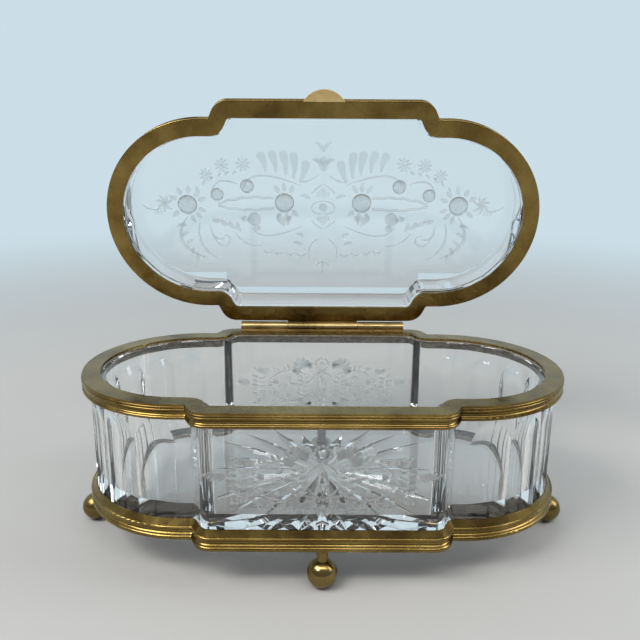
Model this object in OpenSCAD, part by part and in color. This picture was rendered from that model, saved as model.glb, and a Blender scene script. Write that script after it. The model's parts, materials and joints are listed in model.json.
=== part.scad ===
// Glass casket box: a cut glass case and lid held in moulded brass rims,
// on four ball feet, with a long barrel hinge at the back.
// Millimetres, +Z up, +Y to the back. Z = 0 is the table under the feet,
// and the lid is drawn standing open.

/* [Outline] */
// length over the round ends
casket_l = 240; // [220:1:280]
// depth over the straight front and back
casket_w = 127; // [123:1:135]
// radius of each round end
lobe_r = 54; // [50:0.5:56]
// distance from the middle to each re-entrant corner
corner_x = 61; // [56:0.5:64]
// radius of each shoulder
shoulder_r = 9.6; // [9.4:0.1:12]
// how far each shoulder turns, in degrees
shoulder_turn = 65; // [60:1:75]
// least radius of a shoulder drawn further in
inner_shoulder_r = 3; // [2:0.5:4]

/* [Heights] */
// height of the joint between case and lid
case_h = 87.5; // [75:0.5:110]
// height of the closed lid above the joint
lid_h = 24; // [18:0.5:34]
// height of the feet, up to the underside of the base rim
foot_h = 20; // [17:0.5:26]
// gap between the closed rims
joint_gap = 0.4; // [0.3:0.1:1]

/* [Rims of case and lid] */
// height of the skirt
skirt_h = 7.2; // [6.6:0.1:9]
// skirt's inner face, in from the outline
skirt_in = 2.8; // [2.4:0.1:3.2]
// outer edge of the flat face, in from the outline
face_in = 0.7; // [0.5:0.1:1]
// inner edge of the flat face, in from the outline
flange_in = 9.2; // [8:0.1:9.4]
// thickness of the flange
flange_t = 1.3; // [1:0.1:2]
// crest of every bead, in from the outline
crest_in = 0.2; // [0.1:0.1:0.5]
// radius of the top bead
top_bead_r = 0.45; // [0.3:0.05:0.6]
// depth of the top bead below the face
top_bead_d = 1.25; // [1.1:0.05:1.5]
// radius of the middle bead
mid_bead_r = 0.6; // [0.4:0.05:0.8]
// depth of the middle bead below the face
mid_bead_d = 2.6; // [2.4:0.05:2.9]
// radius of the bead along the skirt's edge
low_bead_r = 0.85; // [0.6:0.05:1]
// radius of the cove between the beads
cove_r = 1.15; // [0.8:0.05:1.3]
// depth of the cove below the face
cove_d = 4.35; // [4.3:0.05:4.6]

/* [Base rim] */
// height of the base rim
base_h = 10; // [9:0.5:14]
// thickness of the ledge under the glass
ledge_t = 2; // [1.5:0.1:3]
// inner edge of the ledge, in from the outline
ledge_in = 10; // [8:0.1:12]
// crest of the base mouldings, in from the outline
base_crest_in = 0.6; // [0.4:0.1:1]
// radius of the bottom bead
base_bead_r = 1.3; // [1:0.1:1.5]
// radius of the upper bead
neck_bead_r = 0.8; // [0.6:0.05:1]
// height of the upper bead above the underside
neck_bead_z = 6.5; // [6:0.1:7]
// radius of the cove between the beads
base_cove_r = 1.5; // [1:0.1:1.7]
// height of that cove above the underside
base_cove_z = 4.5; // [4.3:0.1:4.7]
// gap between the top lip and the glass
lip_gap = 0.1; // [0.05:0.05:0.2]

/* [Glass] */
// outer face of the glass, in from the outline
glass_in = 4; // [3.6:0.1:5]
// thickness of the case wall
wall_t = 7.5; // [6:0.1:9]
// thickness of the case floor
floor_t = 12.4; // [9:0.1:16]
// thickness of the lid's wall
lid_wall_t = 6; // [5:0.1:7]
// thickness of the lid's top panel
panel_t = 5; // [4:0.1:7]
// thickness of the bedding between glass and metal
bed_t = 0.6; // [0.4:0.1:1]
// clearance of the bedding from the metal and the glass beside it
bed_gap = 0.08; // [0.06:0.01:0.1]

/* [Cutting] */
// flutes round each end of the case
flutes = 8; // [6:1:12]
// deepest cut of a flute into the round end
flute_d = 2.5; // [1.8:0.1:3]
// width of the ridge left between two flutes
ridge_w = 0.2; // [0.1:0.05:0.6]
// gap between the rim and the top of each arch
arch_gap = 2.4; // [0.5:0.1:6]
// angle between the lid's facets
facet_step = 21; // [18:1:22]
// depth of a facet into the round end of the lid
facet_d = 2.6; // [1.5:0.1:2.8]
// width of the bevel round the lid's top
bevel_w = 2.7; // [1.5:0.1:3.5]
// drop of that bevel
bevel_d = 2.5; // [2:0.1:3.5]
// upper edge of the wide bevel on the straight sides, in from the outline
slope_in = 12.6; // [10:0.1:13]
// rays of the star under the floor
rays = 24; // [16:4:32]
// reach of the rays along the casket
ray_x = 58; // [40:1:60]
// reach of the rays across it
ray_y = 50; // [40:1:52]
// length of every second ray, as a share of its neighbours'
short_ray = 0.86; // [0.6:0.02:1]
// start of each ray from the star's middle
ray_start = 4; // [3:0.5:8]
// deepest cut of a ray
ray_d = 1.7; // [1.2:0.1:3]
// widest part of a ray
ray_w = 6; // [3:0.5:7]
// where a ray is deepest, as a share of its reach
ray_belly = 0.66; // [0.4:0.01:0.7]

/* [Feet] */
// radius of each ball
ball_r = 7.1; // [6:0.1:8]
// height of the small flat a ball stands on
ball_flat = 0.12; // [0.1:0.01:0.3]
// radius of a foot's neck
neck_r = 2.6; // [2.2:0.1:3.5]
// radius of the stud in each foot
stud_r = 1.5; // [1.2:0.1:1.8]
// depth of the stud in the ball
stud_in = 6; // [4:0.5:8]
// centre of the front and back feet, in from the outline
side_foot_in = 5.5; // [4.5:0.5:8]
// top of the end feet, in from the outline
end_foot_in = 3.2; // [3:0.1:8]
// how far the end feet splay outwards, in degrees
end_splay = 16; // [0:1:20]

/* [Hinge] */
// how far the lid stands open, in degrees
lid_open = 80; // [0:1:100]
// radius of the barrel
barrel_r = 3; // [2.6:0.1:3.5]
// length of the lid's middle knuckle
lid_knuckle_l = 41; // [30:1:50]
// length of each outer knuckle
case_knuckle_l = 27; // [20:1:32]
// gap between knuckles
knuckle_gap = 0.3; // [0.2:0.05:0.5]
// radius of the pin
pin_r = 1.2; // [1:0.1:1.5]
// running clearance of the pin
pin_play = 0.05; // [0.02:0.01:0.08]
// thickness of the leaves
leaf_t = 1.2; // [0.8:0.1:1.6]
// gap between a barrel and what turns past it
turn_gap = 0.3; // [0.3:0.05:0.6]

/* [Thumb lift] */
// width of the lift
lift_w = 21; // [16:0.5:26]
// how far it stands out from the rim
lift_out = 5.6; // [4:0.1:8]
// thickness of the lift
lift_t = 2; // [1.5:0.1:2.6]
// radius of the rolled edge
lift_edge_r = 1.2; // [1:0.1:1.4]

/* [Hidden] */
$fn = 96;
over = 1;                                   // how far a cutter runs past what it cuts

// outline: shoulder centre, corner and lobe centre of one quarter
lobe_x = casket_l/2 - lobe_r;
side_y = casket_w/2;
function inward(u) = u + max(shoulder_r - u, inner_shoulder_r);
function shoulder_y(u) = side_y - inward(u);
function shoulder_x(u) = corner_x
    - (inward(u) + (shoulder_y(u) - lobe_r)*cos(shoulder_turn))/sin(shoulder_turn);
shoulder_n = [sin(shoulder_turn), cos(shoulder_turn)];
corner = [corner_x, lobe_r];
slope_l = norm(corner - [shoulder_x(0), shoulder_y(0)] - shoulder_r*shoulder_n);

// heights
rim_z = case_h;
lid_z = case_h + joint_gap;
skirt_z = rim_z - skirt_h;
base_top = foot_h + base_h;
glass_z = foot_h + ledge_t + bed_t;
glass_top = rim_z - flange_t - bed_t;
floor_z = glass_z + floor_t;
lid_glass_z = lid_z + flange_t + bed_t;

// flutes: the radius that leaves a ridge of the given width between neighbours
flute_step = 180/flutes;
end_r = lobe_r - glass_in;
flute_half = flute_step/2 - asin(ridge_w/2/end_r);
flute_r = (pow(end_r, 2) + pow(end_r - flute_d, 2)
    - 2*end_r*(end_r - flute_d)*cos(flute_half))
    / (2*(end_r*cos(flute_half) - end_r + flute_d));
flute_mid = end_r - flute_d + flute_r;
arch_z = skirt_z - arch_gap - sqrt(pow(flute_r, 2) - pow(flute_mid - end_r, 2));
lid_top = lid_z + lid_h;
web_in = crest_in + mid_bead_r;
base_web_in = base_crest_in + neck_bead_r;
lip_in = glass_in - lip_gap;
relief = 0.15;                              // step between a bead and what it meets
seam = 0.02;                                // step where a straight meets a bend
tuck = 0.2;                                 // how far it runs into the bend

// hinge
axis_y = side_y + barrel_r + turn_gap;
axis_z = rim_z + joint_gap/2;
leaf_y = side_y - crest_in;
barrel_l = lid_knuckle_l + 2*(case_knuckle_l + knuckle_gap);
knuckle_x = lid_knuckle_l/2 + knuckle_gap;
lift_r = (pow(lift_w/2, 2) + pow(lift_out, 2))/(2*lift_out);

// feet: the middle of each one's top, the way it faces and its splay
feet = [[0, -(side_y - side_foot_in), -90, 0], [0, side_y - side_foot_in, 90, 0],
        [-(casket_l/2 - end_foot_in), 0, 180, end_splay],
        [casket_l/2 - end_foot_in, 0, 0, end_splay]];

// ---------------------------------------------------------------- outline

// solid with the casket's plan, a distance u in from the outline; where a
// straight runs into a bend it lies one seam lower, so that the two cross
module slab(u, z0, z1) {
    translate([0, 0, z0]) difference() {
        union() {
            for (sx = [-1, 1], sy = [-1, 1]) quarter(sx, sy) quarter_slab(u, z1 - z0);
            side_box(shoulder_x(u), side_y - u - seam, z1 - z0);
            side_box(lobe_x, lobe_r - u - seam, z1 - z0);
            for (sx = [-1, 1]) translate([sx*lobe_x, 0, 0])
                cylinder(r = lobe_r - u, h = z1 - z0);
        }
        for (sx = [-1, 1], sy = [-1, 1]) translate([sx*corner_x, sy*lobe_r, -over])
            cylinder(r = u + 2*seam, h = z1 - z0 + 2*over);
    }
}

module side_box(x, y, h) {
    translate([-x, -y, 0]) cube([2*x, 2*y, h]);
}

module quarter_slab(u, h) {
    mid = [shoulder_x(u), shoulder_y(u)];
    r = max(shoulder_r - u, inner_shoulder_r);
    linear_extrude(height = h) polygon([[0, 0], mid + [0, r - seam],
        mid + (r - seam)*shoulder_n, corner - (u + seam)*shoulder_n, corner, [corner_x, 0]]);
    translate([mid[0], mid[1], 0]) cylinder(r = r, h = h);
}

// band between two such outlines
module band(u0, u1, z0, z1) {
    difference() {
        slab(u0, z0, z1);
        slab(u1, z0 - over, z1 + over);
    }
}

// a shape made for the +X +Y quarter, mirrored into another quarter
module quarter(sx, sy) {
    mirror([sx < 0 ? 1 : 0, 0, 0]) mirror([0, sy < 0 ? 1 : 0, 0]) children();
}

// a profile, x in from the outline and y up, run along a straight from the origin
// and tucked a little way into what it meets at both ends
module run(l) {
    translate([-tuck, 0, 0]) rotate([90, 0, 90]) linear_extrude(height = l + 2*tuck)
        mirror([1, 0]) children();
}

// a profile turned round the origin, its path r out from it
module turn(r, start, angle) {
    rotate([0, 0, start]) rotate_extrude(angle = angle)
        translate([r, 0]) mirror([1, 0]) children();
}

// the outline without its round ends: the first child is the profile of the
// bends and the second, drawn seam smaller all round, that of the straights
module run_sides() {
    for (sy = [-1, 1]) quarter(1, sy)
        translate([-shoulder_x(0), side_y, 0]) run(2*shoulder_x(0)) children(1);
    for (sx = [-1, 1], sy = [-1, 1]) quarter(sx, sy) {
        translate([shoulder_x(0), shoulder_y(0), 0])
            turn(shoulder_r, 90 - shoulder_turn, shoulder_turn) children(0);
        translate([corner[0] - slope_l*cos(shoulder_turn),
                   corner[1] + slope_l*sin(shoulder_turn), 0])
            rotate([0, 0, -shoulder_turn]) run(slope_l) children(1);
        translate([corner[0], corner[1], 0]) rotate([0, 0, 270 - shoulder_turn])
            rotate_extrude(angle = shoulder_turn) children(0);
        translate([corner[0], corner[1], 0]) run(lobe_x - corner_x) children(1);
    }
}

// what is drawn round the origin, put at the middle of both round ends
module at_ends() {
    for (turn = [0, 180]) rotate([0, 0, turn]) translate([lobe_x, 0, 0]) children();
}

module run_round() {
    run_sides() { children(0); children(1); }
    at_ends() turn(lobe_r, -90, 180) children(0);
}

// ---------------------------------------------------------------- metal

// skirt section hanging from a rim's flat face at y = 0, x in from the outline,
// drawn e smaller all round
module skirt_profile(e) {
    difference() {
        union() {
            translate([web_in + e, relief - skirt_h + e])
                square([skirt_in - web_in - 2*e, skirt_h - relief - flange_t/2 - 2*e]);
            translate([crest_in + top_bead_r, -top_bead_d]) circle(r = top_bead_r - e);
            translate([crest_in + mid_bead_r, -mid_bead_d]) circle(r = mid_bead_r - e);
        }
        translate([web_in - cove_r/2, -cove_d]) circle(r = cove_r + e);
        translate([crest_in - over, relief - skirt_h - over])
            square([over + low_bead_r, low_bead_r + over + e]);
    }
    difference() {
        translate([crest_in + low_bead_r, low_bead_r - skirt_h]) circle(r = low_bead_r - e);
        translate([crest_in - over, 2*low_bead_r - relief - skirt_h - e])
            square([2*over + low_bead_r, over]);
    }
}

// a whole rim, flat face up at z = 0
module rim() {
    run_round() { skirt_profile(0); skirt_profile(seam); }
    band(face_in, flange_in, -flange_t, 0);
}

// base moulding, standing on y = 0 outside the ledge
module base_profile(e) {
    difference() {
        union() {
            translate([base_web_in + e, relief + e])
                square([skirt_in - base_web_in - 2*e, neck_bead_z - relief - 2*e]);
            translate([base_crest_in + neck_bead_r, neck_bead_z]) circle(r = neck_bead_r - e);
            polygon([[base_web_in + e, neck_bead_z - over], [skirt_in - e, neck_bead_z - over],
                     [skirt_in - e, neck_bead_z], [lip_in - e, base_h - 2*bed_t],
                     [lip_in - e, base_h - e], [lip_in - bed_t + e, base_h - e],
                     [base_web_in + e, neck_bead_z + neck_bead_r/2]]);
        }
        translate([base_web_in - base_cove_r/2, base_cove_z]) circle(r = base_cove_r + e);
        translate([base_crest_in - over, relief - over])
            square([over + base_bead_r, base_bead_r + over + e]);
    }
    difference() {
        translate([base_crest_in + base_bead_r, base_bead_r]) circle(r = base_bead_r - e);
        translate([base_crest_in - over, 2*base_bead_r - relief - e])
            square([2*over + base_bead_r, over]);
    }
}

// put what is drawn closed on the lid where the open lid has it
module opened() {
    translate([0, axis_y, axis_z]) rotate([-lid_open, 0, 0])
        translate([0, -axis_y, -axis_z]) children();
}

// what is drawn down from the origin, put under the rim where a foot is
module at_foot(f) {
    translate([f[0], f[1], foot_h]) rotate([0, -f[3], f[2]]) children();
}

// distance from a foot's top to the middle of its ball
function neck_l(f) = (foot_h + ball_flat - ball_r)/cos(f[3]);

module studs() {
    for (f = feet) intersection() {
        at_foot(f) translate([0, 0, ball_r - stud_in - neck_l(f)])
            cylinder(r = stud_r, h = neck_l(f) + stud_in);
        translate([-casket_l/2, -side_y, 0]) cube([casket_l, 2*side_y, foot_h + ledge_t]);
    }
}

module case_rim() {
    color("#8a7440") translate([0, 0, rim_z]) rim();
}

module base_rim() {
    color("#8a7440") difference() {
        translate([0, 0, foot_h]) {
            run_round() { base_profile(0); base_profile(seam); }
            band(base_web_in + relief, ledge_in, relief, ledge_t);
        }
        studs();
    }
}

module foot(f) {
    color("#9a8040") difference() {
        intersection() {
            at_foot(f) {
                translate([0, 0, -neck_l(f)]) rotate([0, f[3], 0]) sphere(r = ball_r);
                translate([0, 0, -neck_l(f)]) cylinder(r = neck_r, h = neck_l(f) + neck_r);
            }
            translate([-casket_l, -casket_w, 0]) cube([2*casket_l, 2*casket_w, foot_h]);
        }
        studs();
    }
}

module foot_front() { foot(feet[0]); }
module foot_back()  { foot(feet[1]); }
module foot_left()  { foot(feet[2]); }
module foot_right() { foot(feet[3]); }

module foot_studs() {
    color("#b09a5c") studs();
}

// ---------------------------------------------------------------- glass

// upright flute with a round arched top
module flute() {
    rotate_extrude() intersection() {
        union() {
            square([flute_r, arch_z]);
            translate([0, arch_z]) circle(r = flute_r);
        }
        square([flute_r, arch_z + flute_r]);
    }
}

// every other flute, from the first one named, so that no two of a set meet
module flute_cuts(first) {
    at_ends() for (i = [first : 2 : flutes - 1]) intersection() {
        cylinder(r = lobe_r, h = rim_z);
        rotate([0, 0, (i + 0.5)*flute_step - 90]) translate([flute_mid, 0, 0]) flute();
    }
}

// a V groove cut up from z = 0 along +X: its ridge climbs from the origin
module v_groove(l) {
    rotate([0, -atan2(ray_d, l), 0]) rotate([90, 0, 90]) linear_extrude(height = l + ray_d)
        polygon([[0, 0], [-ray_w, -2*ray_d], [ray_w, -2*ray_d]]);
}

// a star that fills the straight part of the floor
module star_cuts() {
    for (i = [0 : rays - 1]) {
        angle = i*360/rays;
        reach = min(ray_x/max(abs(cos(angle)), 0.01), ray_y/max(abs(sin(angle)), 0.01))
            * (i % 2 == 0 ? 1 : short_ray);
        belly = reach*ray_belly;
        rotate([0, 0, angle]) {
            translate([ray_start, 0, 0]) v_groove(belly - ray_start);
            translate([reach, 0, 0]) rotate([0, 0, 180]) v_groove(reach - belly);
        }
    }
}

module case_glass() {
    color("#c6d4d8", 0.4) difference() {
        difference() {
            slab(glass_in, glass_z, glass_top);
            flute_cuts(0);
        }
        flute_cuts(1);
        slab(glass_in + wall_t, floor_z, rim_z);
        translate([0, 0, glass_z]) star_cuts();
    }
}

// one facet's cutter across +X: its face as far out as named, and above it a
// bevel that ends at the top of the lid
module facet_cut(l, face, top, out) {
    rotate([90, 0, 0]) linear_extrude(height = l, center = true)
        polygon([[face, lid_z + skirt_h], [face, lid_top - (face - top)*bevel_d/bevel_w],
                 [top, lid_top], [top, lid_top + over],
                 [out, lid_top + over], [out, lid_z + skirt_h]]);
}

// facets round the ends, one along each side of an end, and a wide bevel in
// front and behind
module facet_cuts() {
    face = end_r - facet_d;
    at_ends() {
        for (i = [-3 : 3]) rotate([0, 0, i*facet_step])
            facet_cut(lobe_r*sin(2*facet_step), face, face - bevel_w, lobe_r);
        for (sy = [-1, 1]) quarter(1, sy)
            translate([corner_x - glass_in + over - lobe_x + end_r/2, 0, 0])
                rotate([0, 0, 90]) facet_cut(end_r, face, lobe_r - slope_in, lobe_r);
    }
    for (turn = [-90, 90]) rotate([0, 0, turn])
        facet_cut(2*corner_x, side_y, side_y - slope_in, side_y + over);
}

module bevel_profile(e) {
    rise = bevel_d/bevel_w;
    polygon([[glass_in - over, lid_top - bevel_d - over*rise + e],
             [glass_in + bevel_w + over/rise, lid_top + over + e],
             [glass_in - over, lid_top + over + e]]);
}

module lid_glass() {
    color("#c6d4d8", 0.4) opened() difference() {
        slab(glass_in, lid_glass_z, lid_top);
        slab(glass_in + lid_wall_t, lid_z, lid_top - panel_t);
        facet_cuts();
        run_sides() { bevel_profile(0); bevel_profile(seam); }
    }
}

// ---------------------------------------------------------------- bedding

// thin fill in the corner of a rim, drawn for the case
module rim_bed() {
    band(skirt_in + bed_gap, glass_in - bed_gap, skirt_z + bed_t, glass_top + bed_t);
    band((skirt_in + glass_in)/2, flange_in, glass_top, glass_top + bed_t);
}

module case_bedding() { color("#6d6250") rim_bed(); }

module lid_bedding() {
    color("#6d6250") opened() translate([0, 0, rim_z + lid_z]) mirror([0, 0, 1]) rim_bed();
}

module base_bedding() {
    color("#6d6250") {
        band((skirt_in + glass_in)/2, ledge_in, foot_h + ledge_t, glass_z);
        band(skirt_in + bed_gap, glass_in - bed_gap, foot_h + ledge_t, foot_h + neck_bead_z);
    }
}

module lid_rim() {
    color("#8a7440") opened() translate([0, 0, lid_z]) mirror([0, 0, 1]) rim();
}

// ---------------------------------------------------------------- hinge

module barrel(x0, l, r) {
    translate([x0, axis_y, axis_z]) rotate([0, 90, 0]) cylinder(r = r, h = l);
}

module knuckle(x0, l) {
    difference() {
        barrel(x0, l, barrel_r);
        barrel(x0 - over, l + 2*over, pin_r + pin_play);
    }
}

module case_knuckle_left()  { color("#8f7a45") knuckle(-barrel_l/2, case_knuckle_l); }
module case_knuckle_right() { color("#8f7a45") knuckle(knuckle_x, case_knuckle_l); }
module lid_knuckle() { color("#8f7a45") opened() knuckle(-lid_knuckle_l/2, lid_knuckle_l); }
module hinge_pin()   { color("#a08a50") barrel(-barrel_l/2, barrel_l, pin_r); }

// leaf on a skirt's back, cut clear of the knuckles that turn past it
module leaf_blank(x0, l) {
    difference() {
        translate([-barrel_l/2, leaf_y, skirt_z]) cube([barrel_l, leaf_t, skirt_h]);
        barrel(-barrel_l/2 - over, barrel_l + 2*over, barrel_r);
        for (s = x0) barrel(s - knuckle_gap, l + 2*knuckle_gap, barrel_r + turn_gap);
        for (s = x0) translate([s - knuckle_gap, leaf_y - over, axis_z - barrel_r - turn_gap])
            cube([l + 2*knuckle_gap, leaf_t + 2*over, skirt_h]);
    }
}

module case_hinge_leaf() {
    color("#8f7a45") leaf_blank([-lid_knuckle_l/2], lid_knuckle_l);
}

module lid_hinge_leaf() {
    color("#8f7a45") opened() translate([0, 0, rim_z + lid_z]) mirror([0, 0, 1])
        leaf_blank([-barrel_l/2, knuckle_x], case_knuckle_l);
}

// ---------------------------------------------------------------- thumb lift

module thumb_lift() {
    mid_y = -(side_y - crest_in) - lift_out + lift_r;
    color("#b8925a") opened() difference() {
        union() {
            translate([0, mid_y, lid_z]) cylinder(r = lift_r, h = lift_t);
            translate([0, mid_y, lid_z + lift_t]) rotate_extrude()
                translate([lift_r - lift_edge_r, 0]) circle(r = lift_edge_r);
        }
        translate([-lift_r - over, -(side_y - face_in), lid_z - over])
            cube([2*(lift_r + over), 2*lift_r, 3*lift_t + over]);
        translate([-lift_r - over, -(side_y - crest_in), lid_z + top_bead_d - top_bead_r])
            cube([2*(lift_r + over), 2*lift_r, 3*lift_t]);
    }
}

case_glass();
case_rim();
case_bedding();
base_rim();
base_bedding();
foot_front();
foot_back();
foot_left();
foot_right();
foot_studs();
case_hinge_leaf();
case_knuckle_left();
case_knuckle_right();
hinge_pin();
lid_hinge_leaf();
lid_knuckle();
lid_glass();
lid_rim();
lid_bedding();
thumb_lift();
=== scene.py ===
"""Looks of the glass casket box: cut glass, engraving, aged brass, light and camera."""
import json
import math

import bmesh
import bpy
from mathutils import Matrix, Vector


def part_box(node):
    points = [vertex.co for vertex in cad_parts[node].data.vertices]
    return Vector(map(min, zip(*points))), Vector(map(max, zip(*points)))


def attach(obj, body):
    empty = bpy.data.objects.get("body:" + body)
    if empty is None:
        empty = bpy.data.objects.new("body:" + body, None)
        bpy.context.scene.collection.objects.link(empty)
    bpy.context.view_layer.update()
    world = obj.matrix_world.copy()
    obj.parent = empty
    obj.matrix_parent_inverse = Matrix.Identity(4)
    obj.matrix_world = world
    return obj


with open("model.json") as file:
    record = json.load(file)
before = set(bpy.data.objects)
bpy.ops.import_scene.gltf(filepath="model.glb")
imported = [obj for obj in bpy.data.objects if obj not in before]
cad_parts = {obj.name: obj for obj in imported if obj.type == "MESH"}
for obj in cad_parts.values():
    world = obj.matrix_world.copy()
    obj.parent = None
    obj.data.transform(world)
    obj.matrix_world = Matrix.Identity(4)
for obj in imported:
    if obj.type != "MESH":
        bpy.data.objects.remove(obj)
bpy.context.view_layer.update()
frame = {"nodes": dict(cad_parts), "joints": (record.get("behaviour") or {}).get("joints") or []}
nodes = frame["nodes"]

MM = 0.001
RIGHT, BACK, UP = Vector((1, 0, 0)), Vector((0, 1, 0)), Vector((0, 0, 1))

# ------------------------------------------------------------------ materials

BLACK, WHITE = (0.0, 0.0, 0.0), (1.0, 1.0, 1.0)

# tones from dark to bright
RIM_TONES = ((0.125, 0.08, 0.023), (0.225, 0.15, 0.044), (0.325, 0.228, 0.074))
FOOT_TONES = ((0.13, 0.09, 0.03), (0.215, 0.152, 0.052), (0.30, 0.22, 0.085))
HINGE_TONES = ((0.20, 0.15, 0.06), (0.36, 0.275, 0.12), (0.50, 0.40, 0.20))
LIFT_TONES = ((0.58, 0.40, 0.15), (0.86, 0.62, 0.26), (0.98, 0.78, 0.40))
PLASTER_TONES = ((0.12, 0.105, 0.08), (0.27, 0.235, 0.18), (0.50, 0.46, 0.38))
GLASS_TONES = ((0.985, 0.995, 0.995), (0.9925, 0.9975, 0.9975))
ENGRAVED_TONES = ((0.93, 0.96, 0.97), WHITE)

# grain of each noise, in cells to a metre
MOTTLE, SPECKS, WEAR, PITTING = 45.0, 420.0, 130.0, 700.0
WAVINESS, SMEARS = 60.0, 200.0
MATT_GRIT, BERRY_GRIT = 1500.0, 400.0
PLASTER_GRIT = 350.0

LEAD_GLASS_IOR = 1.5
ENGRAVED_IOR = 1.28                 # low, so that a cut looks shallow
WELD = 0.002*MM                     # corners closer than this become one

# angles from which an edge stays sharp, in degrees
METAL_EDGE, GLASS_EDGE, ENGRAVED_EDGE = 32, 24, 35


def scaled(colour, factor):
    return tuple(factor*c for c in colour)


class Nodes:
    """A material's node tree, with short ways to add and join nodes."""

    def __init__(self, name):
        self.material = bpy.data.materials.new(name)
        self.material.use_nodes = True
        self.tree = self.material.node_tree
        self.shader = self.tree.nodes["Principled BSDF"]

    def add(self, kind, **values):
        """A new node, its inputs or else its properties set by name."""
        node = self.tree.nodes.new("ShaderNode" + kind)
        for key, value in values.items():
            socket = key.replace("_", " ")
            if socket in node.inputs:
                node.inputs[socket].default_value = value
            else:
                setattr(node, key, value)
        return node

    def join(self, out, into):
        self.tree.links.new(out, into)

    def feed(self, out, name):
        """Join an output to one of the shader's inputs."""
        self.join(out, self.shader.inputs[name])

    def set(self, **values):
        for key, value in values.items():
            self.shader.inputs[key.replace("_", " ")].default_value = value

    def noise(self, scale, detail=4.0, roughness=0.55):
        """Noise laid out in metres on the object itself."""
        place = self.add("TexCoord")
        noise = self.add("TexNoise", Scale=scale, Detail=detail, Roughness=roughness)
        self.join(place.outputs["Object"], noise.inputs["Vector"])
        return noise.outputs["Fac"]

    def ramp(self, factor, *stops):
        """Colour ramp; each stop is (place, colour)."""
        ramp = self.add("ValToRGB")
        elements = ramp.color_ramp.elements
        while len(elements) < len(stops):
            elements.new(0.5)
        for element, (place, colour) in zip(elements, stops):
            element.position = place
            element.color = (*colour, 1.0)
        self.join(factor, ramp.inputs["Fac"])
        return ramp.outputs["Color"]

    def remap(self, factor, start, stop, low, high):
        """Stretch start..stop to low..high."""
        node = self.add("MapRange", From_Min=start, From_Max=stop, To_Min=low, To_Max=high)
        self.join(factor, node.inputs["Value"])
        return node.outputs["Result"]

    def mix(self, factor, a, b):
        """Mix two colours; each argument is a constant or an output."""
        node = self.add("MixRGB")
        for socket, value in zip(("Fac", "Color1", "Color2"), (factor, a, b)):
            if isinstance(value, float):
                node.inputs[socket].default_value = value
            elif isinstance(value, tuple):
                node.inputs[socket].default_value = (*value, 1.0)
            else:
                self.join(value, node.inputs[socket])
        return node.outputs["Color"]

    def bump(self, height, strength, distance):
        node = self.add("Bump", Strength=strength, Distance=distance)
        self.join(height, node.inputs["Height"])
        self.feed(node.outputs["Normal"], "Normal")


def aged_brass(name, tones, rough, spots):
    """Old gilt brass: mottled tone, dark patina specks, soft wear."""
    m = Nodes(name)
    mottle = m.ramp(m.noise(MOTTLE, detail=5.0), *zip((0.30, 0.50, 0.72), tones))
    specks = m.ramp(m.noise(SPECKS, detail=3.0, roughness=0.7), (0.60, BLACK), (0.74, WHITE))
    stain = m.mix(spots, BLACK, specks)
    m.feed(m.mix(stain, mottle, scaled(tones[0], 0.35)), "Base Color")
    m.feed(m.remap(m.noise(WEAR), 0.3, 0.7, *rough), "Roughness")
    m.bump(m.noise(PITTING, detail=2.0), 0.12, 0.1*MM)
    m.set(Metallic=1.0)
    return m.material


def cut_glass(name):
    """Clear lead glass, polished by hand: faint waviness, hardly any colour."""
    m = Nodes(name)
    waves = m.noise(WAVINESS, detail=2.0)
    m.feed(m.ramp(waves, *zip((0.3, 0.7), GLASS_TONES)), "Base Color")
    m.feed(m.remap(m.noise(SMEARS), 0.45, 0.8, 0.0, 0.02), "Roughness")
    m.bump(waves, 0.06, 0.4*MM)
    m.set(Transmission_Weight=0.982, IOR=LEAD_GLASS_IOR)
    return m.material


def frosted_glass(name, rough, clear, tone, grit_scale=MATT_GRIT):
    """Glass as the engraver's wheel leaves it, its colour scaled by tone; a low tone is painted
    shade.
    """
    m = Nodes(name)
    grit = m.noise(grit_scale, detail=2.0)
    tones = (scaled(colour, tone) for colour in ENGRAVED_TONES)
    m.feed(m.ramp(grit, *zip((0.35, 0.65), tones)), "Base Color")
    m.feed(m.remap(grit, 0.35, 0.65, rough - 0.1, rough + 0.1), "Roughness")
    m.bump(grit, 0.3, 0.1*MM)
    m.set(Transmission_Weight=clear, IOR=ENGRAVED_IOR)
    return m.material


def plaster(name):
    """Old plaster, stained dark."""
    m = Nodes(name)
    grit = m.noise(PLASTER_GRIT, detail=6.0, roughness=0.7)
    m.feed(m.ramp(grit, *zip((0.35, 0.55, 0.75), PLASTER_TONES)), "Base Color")
    m.bump(grit, 0.6, 0.4*MM)
    m.set(Roughness=0.9)
    return m.material


def keep_edges(obj, degrees):
    """Smooth shading up to the sharp edges."""
    obj.data.polygons.foreach_set("use_smooth", [True]*len(obj.data.polygons))
    split = obj.modifiers.new("sharp_edges", "EDGE_SPLIT")
    split.split_angle = math.radians(degrees)


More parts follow.
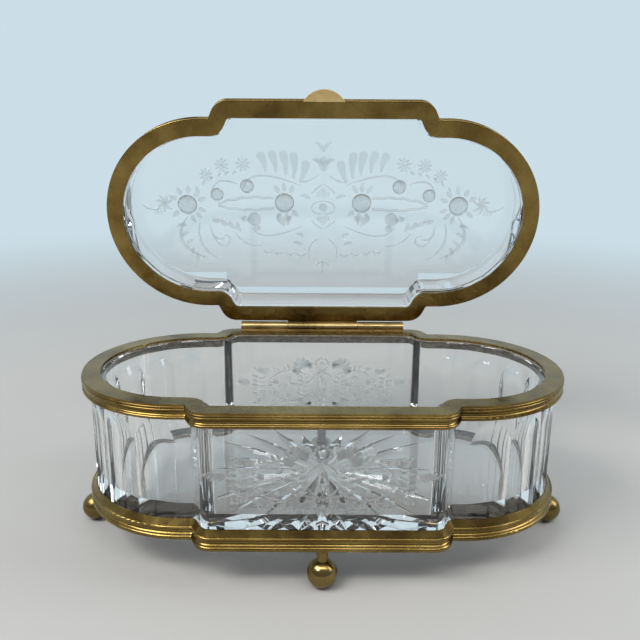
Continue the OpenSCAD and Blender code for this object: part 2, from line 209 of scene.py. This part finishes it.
def finish_cad():
    """Each CAD node gets its material and smooth shading."""
    rim = aged_brass("rim_brass", RIM_TONES, rough=(0.15, 0.34), spots=0.5)
    foot = aged_brass("foot_brass", FOOT_TONES, rough=(0.16, 0.34), spots=0.35)
    hinge = aged_brass("hinge_brass", HINGE_TONES, rough=(0.22, 0.4), spots=0.5)
    lift = aged_brass("lift_brass", LIFT_TONES, rough=(0.3, 0.45), spots=0.3)
    bed = plaster("bedding_plaster")
    looks = {
        "case_glass": cut_glass("case_cut_glass"), "lid_glass": cut_glass("lid_cut_glass"),
        "case_rim": rim, "lid_rim": rim, "base_rim": rim,
        "case_bedding": bed, "lid_bedding": bed, "base_bedding": bed,
        "foot_front": foot, "foot_back": foot, "foot_left": foot, "foot_right": foot,
        "foot_studs": hinge, "case_hinge_leaf": hinge, "lid_hinge_leaf": hinge,
        "case_knuckle_left": hinge, "case_knuckle_right": hinge, "lid_knuckle": hinge,
        "hinge_pin": hinge, "thumb_lift": lift,
    }
    for name, material in looks.items():
        node = nodes[name]
        node.data.materials.clear()
        node.data.materials.append(material)
        weld = node.modifiers.new("weld", "WELD")
        weld.merge_threshold = WELD
        keep_edges(node, GLASS_EDGE if "glass" in name else METAL_EDGE)


# ------------------------------------------------------------------ engraving

lid_hinge = frame["joints"][0]
hinge_at = Vector(lid_hinge["pos_m"])
lid_open = math.radians(-lid_hinge["range_deg"][0])
opened = (Matrix.Translation(hinge_at) @ Matrix.Rotation(-lid_open, 4, "X")
          @ Matrix.Translation(-hinge_at))
closed = opened.inverted()
turned = opened.to_3x3()
lid_top = max((closed @ v.co).z for v in nodes["lid_glass"].data.vertices)
glass_low, glass_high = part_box("case_glass")
glass_mid = (glass_low.z + glass_high.z)/2

# each panel: (origin, across, up, outwards), all at rest
LID_PANEL = (opened @ Vector((0, 0, lid_top)), RIGHT, turned @ -BACK, turned @ UP)
FRONT_PANEL = (Vector((0, glass_low.y, glass_mid)), RIGHT, UP, -BACK)
BACK_PANEL = (Vector((0, glass_high.y, glass_mid)), RIGHT, UP, BACK)

AIR = 0.02                          # film of air between the glass and a cut's facets, mm
BERRY_AIR = 4*AIR                   # the same under the berries, which lie over other cuts
LEVELS = 10                         # heights that neighbouring cuts take in turn
LEVEL_STEP = 0.2*AIR                # from one such height to the next
TIP = 0.02                          # share of a cut's length left blunt at each end


def towards(x, y, degrees, distance):
    """The point so far from (x, y) in a direction."""
    return (x + distance*math.cos(math.radians(degrees)),
            y + distance*math.sin(math.radians(degrees)))


def swell(t, power):
    """Widest in the middle of a cut, from t = 0 to 1, and narrow at both tips."""
    return math.sin(math.pi*min(max(t, TIP), 1 - TIP))**power


class Engraving:
    """Cuts drawn on one flat panel, in millimetres across and up from its middle."""

    SECTION = ((-1.0, 0.0), (-0.55, 0.75), (0.0, 1.0), (0.55, 0.75), (1.0, 0.0))
    STEPS = 16                      # sections along a stroke
    HIGHEST = 0.22                  # of a stroke's crest
    STEEPNESS = 0.8                 # a stroke's height as a share of half its width
    LEAST_HALF = 0.02               # half the width of the finest stroke
    DOME_RINGS, DOME_TURNS = 6, 24
    DOME_RISE = 0.28                # a dome's height as a share of its radius

    def __init__(self, panel, air=AIR):
        self.origin, self.across, self.up, self.out = panel
        self.air = air
        self.cuts = 0
        self.mesh = bmesh.new()
        self.mirror = True

    def point(self, x, y, h):
        """A corner of the cut in hand; cuts that cross lie at slightly different heights."""
        h += self.air + self.cuts % LEVELS*LEVEL_STEP
        return self.mesh.verts.new(self.origin + (self.across*x + self.up*y + self.out*h)*MM)

    def sides(self, x=1.0):
        """Both sides of the panel, or one where nothing is mirrored or x is the middle."""
        return (1, -1) if self.mirror and x else (1,)

    def stroke(self, path, width):
        """One cut along path(t), width(t) wide, pointed or round as its width says."""
        for side in self.sides():
            self.cuts += 1
            sections = [self.section(path, i/self.STEPS, side, width)
                        for i in range(self.STEPS + 1)]
            for a, b in zip(sections, sections[1:]):
                for j in range(len(a)):
                    k = (j + 1) % len(a)
                    self.mesh.faces.new((a[j], a[k], b[k], b[j]))
            self.mesh.faces.new(sections[0][::-1])
            self.mesh.faces.new(sections[-1])

    def section(self, path, t, side, width):
        """The cut's section at t, square to its path."""
        step = 0.01
        (x, y), (ax, ay), (bx, by) = path(t), path(max(t - step, 0)), path(min(t + step, 1))
        length = math.hypot(bx - ax, by - ay) or 1.0
        nx, ny = -(by - ay)/length, side*(bx - ax)/length
        half = max(width(t)/2, self.LEAST_HALF)
        rise = min(self.HIGHEST, half*self.STEEPNESS)
        return [self.point(side*x + nx*half*a, y + ny*half*a, rise*b) for a, b in self.SECTION]

    def dome(self, x, y, radius, rise=None):
        """A polished round cut."""
        rise = rise or radius*self.DOME_RISE
        for side in self.sides(x):
            self.cuts += 1
            rows = []
            for i in range(self.DOME_RINGS):
                a = i/self.DOME_RINGS*math.pi/2
                r, h = radius*math.cos(a), rise*math.sin(a)
                rows.append([self.point(side*x + r*math.cos(j/self.DOME_TURNS*math.tau),
                                        y + r*math.sin(j/self.DOME_TURNS*math.tau), h)
                             for j in range(self.DOME_TURNS)])
            top = self.point(side*x, y, rise)
            for j in range(self.DOME_TURNS):
                k = (j + 1) % self.DOME_TURNS
                for a, b in zip(rows, rows[1:]):
                    self.mesh.faces.new((a[j], a[k], b[k], b[j]))
                self.mesh.faces.new((rows[-1][j], rows[-1][k], top))
            self.mesh.faces.new(rows[0][::-1])

    # ---- motifs, each made of strokes and domes

    def curve(self, start, bend, end, wide, taper=True):
        """A quadratic curve from start to end, drawn towards bend."""
        def path(t):
            s = 1 - t
            return tuple(s*s*a + 2*s*t*b + t*t*c for a, b, c in zip(start, bend, end))
        self.stroke(path, (lambda t: wide*swell(t, 0.5)) if taper else (lambda t: wide))

    def leaf(self, x, y, angle, length, wide, bend=0.15):
        """One pointed leaf or petal growing from (x, y)."""
        def path(t):
            along = towards(x, y, angle, t*length)
            return towards(*along, angle + 90, bend*length*math.sin(math.pi*t))
        self.stroke(path, lambda t: wide*math.sin(math.pi*t**0.8)**0.9)

    def crescent(self, x, y, radius, wide, start=190, sweep=160):
        """A cut round part of a circle, widest in its middle."""
        self.stroke(lambda t: towards(x, y, start + sweep*t, radius),
                    lambda t: wide*swell(t, 0.8))

    def wave(self, start, end, high, turns, wide):
        """A wavy line from start to end, bowed by high."""
        def path(t):
            x, y = (a + (b - a)*t for a, b in zip(start, end))
            return (x, y + high*math.sin(math.pi*t) + 0.22*high*math.sin(math.tau*turns*t))
        self.stroke(path, lambda t: wide)

    def plume(self, start, end, lean, wide):
        """A club-shaped plume with a round end."""
        def path(t):
            x, y = (a + (b - a)*t for a, b in zip(start, end))
            return (x + lean*math.sin(math.pi*t), y)
        self.stroke(path, lambda t: wide*(0.2 + 0.8*t**1.2)*max(1 - t**7, 0.0)**0.5)

    def flower(self, x, y, radius, petals, turn):
        """Petals round a dome, the first one in direction turn."""
        for i in range(petals):
            angle = turn + i*360/petals
            self.leaf(*towards(x, y, angle, 0.25*radius), angle, 0.75*radius,
                      2.6*radius/petals, bend=0.0)
        self.dome(x, y, 0.22*radius)

    def scroll(self, x, y, radius, start, turns, wide):
        """A spiral that curls in from its outer end, which lies at the start angle."""
        def path(t):
            return towards(x, y, start - 360*t*turns, radius*(1 - 0.75*t))
        self.stroke(path, lambda t: wide*(0.35 + 0.65*math.sin(math.pi*min(t + 0.1, 1.0))))

    def spray(self, x, y, angle, length, leaves, wide):
        """A stem with pairs of leaves and one at its tip."""
        middle = towards(*towards(x, y, angle, 0.5*length), angle + 90, 0.08*length)
        tip = towards(x, y, angle, length)
        self.curve((x, y), middle, tip, 0.45)
        for i in range(leaves):
            t = (i + 1)/(leaves + 1)
            for turn in (38, -38):
                self.leaf(*towards(x, y, angle, t*length), angle + turn,
                          length*0.34*(1.15 - 0.5*t), wide)
        self.leaf(*tip, angle, length*0.22, wide)

    def fan(self, x, y, angle, radius, ribs, spread, wide):
        """A palmette of round-ended ribs."""
        for i in range(ribs):
            turn = (i/(ribs - 1) - 0.5)*spread
            length = radius*(1 - 0.5*abs(turn)/spread)
            self.leaf(*towards(x, y, angle + turn, 0.3*radius), angle + turn,
                      length - 0.3*radius, wide, bend=0.08*math.copysign(1, turn))
            self.dome(*towards(x, y, angle + turn, length), wide*0.4)

    def hatch(self, x, y, wide, high, lines):
        """Upright hatching inside a pointed field."""
        for i in range(lines):
            u = (i + 0.5)/lines*2 - 1
            at, half = x + u*wide/2, high/2*(1 - 0.5*abs(u))
            self.curve((at, y - half), (at, y), (at, y + half), wide/lines*0.55, taper=False)

    def piece(self, name, material, body):
        """Make the cuts one object that rides on a body."""
        bmesh.ops.recalc_face_normals(self.mesh, faces=self.mesh.faces)
        data = bpy.data.meshes.new(name)
        self.mesh.to_mesh(data)
        self.mesh.free()
        data.materials.append(material)
        obj = bpy.data.objects.new(name, data)
        bpy.context.collection.objects.link(obj)
        keep_edges(obj, ENGRAVED_EDGE)
        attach(obj, body)


# the right half of the lid: (x, y, radius of the ring of cuts round the berry, whose broad lower
# half is painted shade, radius of the berry)
END_BERRY = (78.7, 0.8, 5.2, 5.6)
INNER_BERRY = (22.4, 2.2, 5.2, 5.6)
LOW_SCROLL_BERRY = (61.2, 6.9, 3.5, 3.7)
HIGH_SCROLL_BERRY = (43.8, 11.9, 3.7, 3.9)
LID_BERRIES = (END_BERRY, INNER_BERRY, LOW_SCROLL_BERRY, HIGH_SCROLL_BERRY)
BERRY_RISE = 0.42                   # a berry's height as a share of its radius
PETAL_OUT = 6.4                     # from the middle of a berry to its petals


def lid_scrolls(cut):
    """Two scrolls that curl into small berries, and a ribbon between the large ones. Round each
    berry a broad lower crescent of painted shade and a thin upper one.
    """
    cut.curve((46.5, 9), (44, 25), (13, 12.4), 1.3)
    cut.curve((64.5, 5), (64, 19), (49, 13), 1.2)
    for x, y, ring, _ in LID_BERRIES:
        # painted shade: the broad frosted crescent round the lower half of each berry stands for
        # the shading of a dome lit from above
        cut.crescent(x, y, ring, 0.36*ring)
        cut.crescent(x, y, ring - 0.2, 0.5, start=20, sweep=140)
    for shift in (0.0, 0.9):
        cut.wave((28.5, 4.2 + shift), (61, 1.2 + shift), 1.8, 4, 0.55)
        cut.wave((28.5, -0.8 - shift), (61, 0.4 - shift), -1.6, 4, 0.55)


def lid_petals(cut):
    """Petals round the large berries, and plumes that rise from the scroll."""
    for (x, y, _, _), turns in ((END_BERRY, (25, 60, 95, 130, 158, 200, 225, 250, 320)),
                                (INNER_BERRY, (60, 88, 116, 225, 258, 290))):
        for turn in turns:
            cut.leaf(*towards(x, y, turn, PETAL_OUT), turn, 5.4, 2.9, bend=0.05)
    for x0, y0, x1, y1 in ((33, 20.5, 36.5, 31.5), (27, 20, 30.0, 32.3), (21.5, 18.5, 23.6, 32.4),
                           (17, 16.5, 17.4, 31.9), (13.4, 14, 9.8, 27.0)):
        cut.plume((x0, y0), (x1, y1), -0.8, 6.6)


def lid_shoulders(cut):
    """Daisies and small leaves at the shoulders, and a trailing sprig at each end."""
    for x, y, radius in ((45.8, 24.6, 4.6), (57.8, 23.8, 4.6), (67, 18.2, 4.4)):
        cut.flower(x, y, radius, 9, 10)
    for i in range(6):
        cut.leaf(49 + 4.6*i, 20.5 - 0.35*i*i, -35 - 8*i, 3.6, 1.4)
    for turn in (15, 55, 100, 145, 215, 265, 320):
        cut.leaf(91.8, 1.2, turn, 5.6, 1.8)
    cut.curve((94, -1.5), (100, -4.5), (105, 0.5), 1.1)
    for i in range(3):
        cut.leaf(94.5 + 1.7*i, -2.4 - 0.2*i, 250, 3.0, 0.8)


def lid_lower_scrolls(cut):
    """A ringed flower with its hanging scroll, and a large leafy scroll at each end."""
    cut.dome(40, -7.4, 3.6, rise=0.7)
    cut.crescent(40, -7.4, 4.0, 0.9)
    cut.dome(38.6, -13.4, 2.0, rise=0.5)
    cut.curve((42.5, -12), (37, -24), (12.3, -12), 1.1)
    for x, y, turn in ((26, -4.5, 250), (22.4, -5.5, 268), (18, -5.5, 292)):
        cut.leaf(x, y, turn, 7.0, 3.0)
    cut.spray(50, -6, 195, 9, 2, 1.7)
    for i in range(4):
        cut.leaf(50 + 5*i, -9.5 + 0.5*i, 250 - 22*i, 6.5, 2.6)
    cut.curve((79, -6), (92, -24), (70, -32), 2.2)
    cut.curve((72, -10), (76, -26), (62, -33), 1.6)
    cut.curve((66, -12), (66, -22), (58, -20), 1.4)
    cut.scroll(58, -20, 6.0, 20, 0.85, 1.3)
    for i in range(5):
        cut.leaf(80 - 1.5*i, -12 - 4.4*i, 350 - 20*i, 6.0, 2.2)


def lid_scallops(cut):
    """A row of scallops under the middle, and the sprays below them."""
    for x, y in ((32.4, -26.0), (25.9, -26.6), (19.4, -27.4), (13.0, -28.0)):
        cut.crescent(x, y, 2.9, 1.2)
    cut.leaf(12.4, -24.0, 15, 6.0, 2.2)
    cut.leaf(11.5, -18.5, 20, 5.0, 1.8)
    cut.curve((3, -20), (10, -24), (8, -32), 0.9)
    cut.curve((36, -24), (46, -26), (52, -16), 1.0)


def lid_middle(cut):
    """A tulip over a hatched diamond, and the leaf that hangs from it."""
    cut.leaf(0.2, 31.5, 52, 7.4, 2.2)
    cut.leaf(0.6, 20.5, 62, 9.4, 3.0)
    cut.leaf(2.0, 25, 25, 5.4, 1.8)
    cut.curve((2.5, 19), (8, 14), (13, 14.5), 1.0)
    cut.curve((0, 13.2), (3.5, 11.5), (7, 7.4), 1.1)
    cut.curve((0, -13.6), (4, -12), (7.2, -8.4), 0.9)
    cut.curve((0, 3.2), (7.5, 2.5), (6.4, -2.2), 0.8)
    cut.curve((6.4, -2.2), (5, -5), (0, -4.4), 0.8)
    cut.leaf(0.4, -35, 330, 4.2, 1.4)
    cut.leaf(7.5, 4.5, 15, 6.5, 2.0)
    cut.mirror = False
    cut.leaf(0, -32.5, 270, 11.0, 1.7, bend=0)
    cut.dome(0, 27.0, 2.0, rise=0.5)
    cut.dome(0, -0.6, 2.4, rise=0.5)
    for i in range(7):
        x = -3.3 + 1.1*i
        cut.curve((x, 12 - abs(x)), (x, 8), (x, 4.4 + 0.4*abs(x)), 0.7)
        cut.curve((x, -5.6), (x, -8), (x, -12 + abs(x)), 0.7)


def engrave_lid(matt, polished):
    """Berries between scrolls, plumes and sprays, round a hatched middle field."""
    cut = Engraving(LID_PANEL)
    lid_scrolls(cut)
    lid_petals(cut)
    lid_shoulders(cut)
    lid_lower_scrolls(cut)
    lid_scallops(cut)
    lid_middle(cut)
    cut.piece("lid_engraving", matt, "lid")

    berries = Engraving(LID_PANEL, air=BERRY_AIR)
    for x, y, _, radius in LID_BERRIES:
        berries.dome(x, y, radius, rise=BERRY_RISE*radius)
    berries.piece("lid_berries", polished, "lid")


def side_column(cut):
    """A ring of beads at each end of a hatched column, its outline a diamond."""
    beads, ring, bead = 12, 3.7, 0.8
    cut.mirror = False
    for end in (1, -1):
        for i in range(beads):
            cut.dome(*towards(0, 13.2*end, i*360/beads, ring), bead)
        cut.dome(0, 13.2*end, 1.5)
        cut.hatch(0, 8.2*end, 4.5, 2.6, 5)
    cut.mirror = True
    for end in (1, -1):
        cut.curve((0, 6.8*end), (1.8, 3.5*end), (2.6, 0), 0.9)
        cut.leaf(0.3, 1.2*end, 90*end, 3.8, 1.6)
        cut.curve((0.4, 9.0*end), (4.5, 7.5*end), (6.5, 3.4*end), 1.2)
        cut.curve((6.5, 5.4*end), (19, 14.0*end), (29.5, 5.2*end), 1.0)
        cut.curve((29.5, 5.2*end), (33.0, 2.0*end), (27.4, 1.6*end), 0.9)
        cut.leaf(6.0, 10.5*end, 40*end, 5.0, 2.0)


def side_foliage(cut):
    """Leafy stems, berries, shells, sprays and daisies on each side of the column."""
    for x in (11.0, 37.5):
        for i in range(5):
            cut.leaf(x - 0.3, 4.8 - 2.8*i, 162, 4.0, 1.7)
            cut.leaf(x + 0.3, 4.8 - 2.8*i, 18, 4.0, 1.7)
    for x, y in ((27.4, 2.4), (19.3, 4.7), (27.4, -4.8), (20.1, -6.2), (15.8, 0.4)):
        cut.dome(x, y, 1.5)
    cut.fan(10.0, 8.5, 62, 8.2, 7, 120, 3.0)
    cut.fan(9.0, -8.6, 300, 6.8, 6, 110, 2.6)
    cut.spray(41, 1, 8, 10, 4, 1.7)
    cut.spray(30, 7, 20, 9, 3, 1.7)
    cut.spray(31, -7, -25, 9, 3, 1.7)
    for i in range(6):
        cut.leaf(19 + 3.0*i, 9.8 - 0.5*i, 60 + 24*math.sin(2.4*i), 3.6, 1.5)
        cut.leaf(14 + 3.0*i, 0.6*math.sin(2*i), 24*math.sin(1.9*i), 3.2, 1.4)
    for x, y, radius in ((18.0, -12.4, 2.6), (23.4, -11.6, 2.8), (28.6, -11.2, 2.4)):
        cut.flower(x, y, radius, 7, 15)


def engrave_side(name, panel, matt):
    """Scrolling foliage on each side of a beaded column, on a flat side of the case."""
    cut = Engraving(panel)
    side_column(cut)
    side_foliage(cut)
    cut.piece(name, matt, "case")


def engrave():
    soft = frosted_glass("engraved_soft", rough=0.45, clear=0.93, tone=0.97)
    berry = frosted_glass("engraved_berry", rough=0.3, clear=0.95, tone=0.9,
                          grit_scale=BERRY_GRIT)
    # painted shade: the front panel's cuts get a darker, less clear copy of the engraved glass
    # than the same cuts on the back and lid
    matt = frosted_glass("engraved_matt_painted_shade", rough=0.5, clear=0.75, tone=0.66)
    engrave_lid(soft, berry)
    engrave_side("front_engraving", FRONT_PANEL, matt)
    engrave_side("back_engraving", BACK_PANEL, soft)


# ------------------------------------------------------------------ light and camera

CAMERA_AT = Vector((-2.66, -348.6, 210.7))*MM
CAMERA_PITCH, CAMERA_YAW, CAMERA_ROLL = (math.radians(a) for a in (15.97, 0.18, 0.38))
FOCAL_PIXELS = 729.5                # focal length, in pixels of the 640-pixel photo
PHOTO_PIXELS = 640
SENSOR = 36.0
NEAREST = 0.01                      # nearest distance that the camera sees, in metres

WALL = (0.60, 0.73, 0.80)
ROOM = (0.25, 0.25, 0.25)
CEILING = (0.10, 0.10, 0.10)
WALL_SPAN = (-0.35, 0.55)           # how far back a direction points where room turns to wall
CEILING_SPAN = (0.35, 0.95)         # how far up one points where the ceiling comes in
FLOOR = (0.37, 0.36, 0.345)
FLOOR_FADE = (0.25, 1.1)            # metres from the casket

LIGHTS = (                          # name, place, width and height, watts, colour
    ("key", (-0.9, -0.6, 1.2), (0.9, 0.6), 20.0, WHITE),
    ("side", (1.1, -0.1, 0.8), (0.5, 0.8), 8.0, (0.93, 0.97, 1.0)),
    ("top", (0.0, -0.75, 1.35), (1.9, 0.3), 12.0, WHITE),
)
LIT_POINT = Vector((0, 0, 0.08))    # what every light points at


def add_camera():
    forward = Vector((math.sin(CAMERA_YAW)*math.cos(CAMERA_PITCH),
                      math.cos(CAMERA_YAW)*math.cos(CAMERA_PITCH), -math.sin(CAMERA_PITCH)))
    right = Vector((math.cos(CAMERA_YAW), -math.sin(CAMERA_YAW), 0))
    up = right.cross(forward)
    c, s = math.cos(CAMERA_ROLL), math.sin(CAMERA_ROLL)
    axes = (c*right + s*up, c*up - s*right, -forward)
    data = bpy.data.cameras.new("camera")
    data.sensor_width = SENSOR
    data.lens = SENSOR*FOCAL_PIXELS/PHOTO_PIXELS
    data.clip_start = NEAREST
    camera = bpy.data.objects.new("camera", data)
    camera.matrix_world = Matrix.Translation(CAMERA_AT) @ Matrix(axes).transposed().to_4x4()
    bpy.context.collection.objects.link(camera)
    bpy.context.scene.camera = camera


def add_light(name, place, size, watts, colour):
    data = bpy.data.lights.new(name, "AREA")
    data.shape = "RECTANGLE"
    data.size, data.size_y = size
    data.energy = watts
    data.color = colour
    light = bpy.data.objects.new(name, data)
    aim = (LIT_POINT - Vector(place)).to_track_quat("-Z", "Y")
    light.matrix_world = Matrix.Translation(Vector(place)) @ aim.to_matrix().to_4x4()
    bpy.context.collection.objects.link(light)


def add_world():
    """Pale wall behind, a darker room in front, and a ceiling a little lighter than it."""
    world = bpy.data.worlds.new("room")
    world.use_nodes = True
    tree = world.node_tree
    background = tree.nodes["Background"]
    place = tree.nodes.new("ShaderNodeTexCoord")
    split = tree.nodes.new("ShaderNodeSeparateXYZ")
    tree.links.new(place.outputs["Generated"], split.inputs["Vector"])

    def ramp(axis, start, stop, low, high):
        span = tree.nodes.new("ShaderNodeMapRange")
        span.inputs["From Min"].default_value = start
        span.inputs["From Max"].default_value = stop
        colours = tree.nodes.new("ShaderNodeValToRGB")
        colours.color_ramp.elements[0].color = (*low, 1)
        colours.color_ramp.elements[1].color = (*high, 1)
        tree.links.new(split.outputs[axis], span.inputs["Value"])
        tree.links.new(span.outputs["Result"], colours.inputs["Fac"])
        return colours.outputs["Color"]

    both = tree.nodes.new("ShaderNodeMixRGB")
    both.blend_type = "ADD"
    both.inputs["Fac"].default_value = 1.0
    tree.links.new(ramp("Y", *WALL_SPAN, ROOM, WALL), both.inputs["Color1"])
    tree.links.new(ramp("Z", *CEILING_SPAN, BLACK, CEILING), both.inputs["Color2"])
    tree.links.new(both.outputs["Color"], background.inputs["Color"])
    background.inputs["Strength"].default_value = 1.0
    bpy.context.scene.world = world


def add_floor():
    """Pale paper that fades into the wall some way behind and around the casket."""
    bpy.ops.mesh.primitive_circle_add(vertices=96, radius=FLOOR_FADE[1], fill_type="NGON")
    floor = bpy.context.object
    floor.name = "floor"
    m = Nodes("floor_paper")
    tone = m.noise(3.0, detail=3.0)
    m.feed(m.ramp(tone, (0.3, scaled(FLOOR, 0.95)), (0.7, FLOOR)), "Base Color")
    m.set(Roughness=0.7)
    place = m.add("TexCoord")
    length = m.add("VectorMath", operation="LENGTH")
    m.join(place.outputs["Object"], length.inputs[0])
    fade = m.add("MapRange", From_Min=FLOOR_FADE[0], From_Max=FLOOR_FADE[1], To_Min=1.0,
                 To_Max=0.0, interpolation_type="SMOOTHSTEP")
    m.join(length.outputs["Value"], fade.inputs["Value"])
    m.feed(fade.outputs["Result"], "Alpha")
    floor.data.materials.append(m.material)


finish_cad()
engrave()
add_camera()
add_world()
add_floor()
for light in LIGHTS:
    add_light(*light)
bpy.context.scene.view_settings.view_transform = "Standard"
